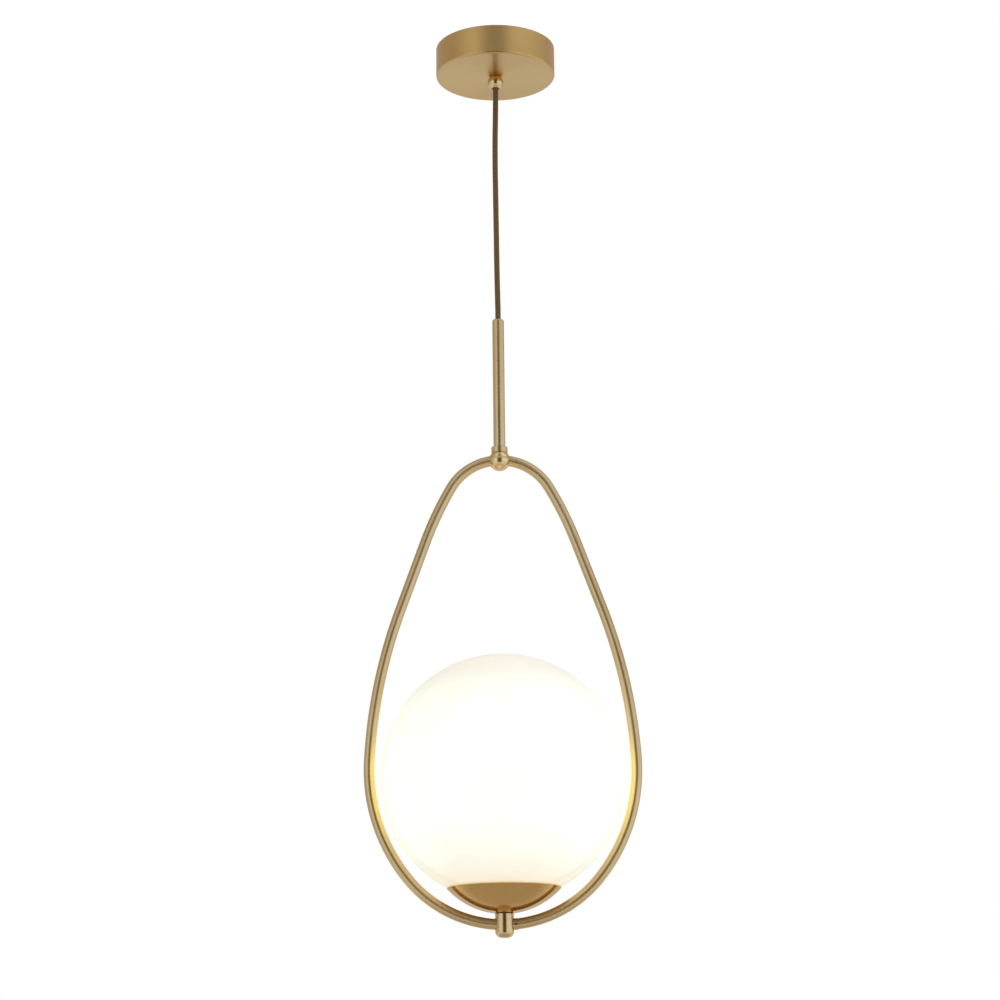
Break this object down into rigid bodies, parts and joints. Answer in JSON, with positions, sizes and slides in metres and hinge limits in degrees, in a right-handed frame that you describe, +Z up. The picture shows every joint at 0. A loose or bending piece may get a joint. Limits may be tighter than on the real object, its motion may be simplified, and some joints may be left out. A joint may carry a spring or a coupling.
{
  "type": "pendant ceiling light",
  "caption": "Pendant ceiling light: an opal glass globe in an egg-shaped brass tube hoop, hung by a fabric cord and a short stem from a round ceiling canopy.",
  "frame": {"origin": "centre of the face that meets the ceiling, on the axis of the canopy, cord, stem and globe", "axes": "+Z up into the ceiling, the hoop lies in the XZ plane, the front faces -Y"},
  "size_m": [0.2834, 0.25, 0.9597],
  "materials": {
    "satin_brass": "satin, fine turned and drawn brush lines, warm pale brass",
    "polished_brass": "polished brass",
    "contact_brass": "plain turned and pressed brass",
    "zinc_steel": "zinc plated steel",
    "spring_steel": "rolled spring steel strip",
    "nickel": "nickel plated",
    "white_nylon": "moulded nylon",
    "lampholder_white": "moulded thermoplastic, low gloss",
    "cord_fabric": "braided olive brown textile over a round flex",
    "core_brown": "PVC insulation, brown",
    "core_blue": "PVC insulation, blue",
    "core_green": "PVC insulation, green and yellow",
    "seal_rubber": "soft moulded rubber",
    "opal_glass": "opal white glass, smooth outside, lit from inside",
    "black_glass": "black vitrite",
    "bulb_white": "white moulded bulb base",
    "bulb_diffuser": "frosted diffuser"
  },
  "bodies": {
    "ceiling": {"ceiling_bracket": "zinc_steel", "canopy": "satin_brass", "canopy_nipple": "zinc_steel", "lock_nuts": "zinc_steel", "cord_grip": "polished_brass", "grip_screw": "zinc_steel", "terminal_block": "white_nylon", "terminal_inserts": "contact_brass", "terminal_screws": "zinc_steel", "block_screw": "zinc_steel", "earth_tag": "contact_brass", "earth_screw": "contact_brass", "cord_tail": "cord_fabric", "core_live": "core_brown", "core_neutral": "core_blue", "core_earth": "core_green"},
    "bush": {"grip_bush": "white_nylon"},
    "cord_body": {"cord": "cord_fabric"},
    "lamp": {"stem_tube": "satin_brass", "stem_bush": "white_nylon", "stem_nipple": "zinc_steel", "stem_collar": "satin_brass", "joint_ball": "satin_brass", "hoop_left": "satin_brass", "hoop_right": "satin_brass", "hoop_ferrule": "satin_brass", "inner_lead": "white_nylon", "bottom_post": "satin_brass", "dish": "satin_brass", "lamp_nipple": "zinc_steel", "gallery_pan": "zinc_steel", "gallery_nut": "zinc_steel", "globe_springs": "spring_steel", "globe_seal": "seal_rubber", "lampholder_base": "lampholder_white", "lampholder_disc": "lampholder_white", "holder_contact": "contact_brass", "holder_sleeve": "contact_brass", "lampholder_shell": "lampholder_white"},
    "globe_body": {"globe": "opal_glass"},
    "bulb_tip": {"bulb_contact": "nickel"},
    "bulb": {"bulb_insulator": "black_glass", "bulb_cap": "nickel", "bulb_base": "bulb_white", "bulb_dome": "bulb_diffuser"}
  },
  "joints": [
    {"name": "swing_fore_aft", "type": "hinge", "parent": "ceiling", "child": "bush", "pos_m": [0, 0, -0.044], "axis": [1, 0, 0], "range_deg": [-15, 15]},
    {"name": "swing_side", "type": "hinge", "parent": "bush", "child": "cord_body", "pos_m": [0, 0, -0.044], "axis": [0, 1, 0], "range_deg": [-15, 15]},
    {"name": "cord_twist", "type": "hinge", "parent": "cord_body", "child": "lamp", "pos_m": [0, 0, -0.313], "axis": [0, 0, 1], "range_deg": [-90, 90], "stiffness_Nm_per_rad": 0.02},
    {"name": "globe_lift", "type": "slide", "parent": "lamp", "child": "globe_body", "axis": [0, 0, 1], "range_m": [0, 0.04], "deforming": ["globe_springs"]},
    {"name": "bulb_lift", "type": "slide", "parent": "lamp", "child": "bulb_tip", "axis": [0, 0, 1], "range_m": [0, 0.0142]},
    {"name": "bulb_turn", "type": "hinge", "parent": "bulb_tip", "child": "bulb", "pos_m": [0, 0, -0.89], "axis": [0, 0, 1], "range_deg": [0, 1800]}
  ],
  "couplings": [
    {"joint": "bulb_lift", "follows": "bulb_turn", "m_per_rad": 0.00044914}
  ]
}
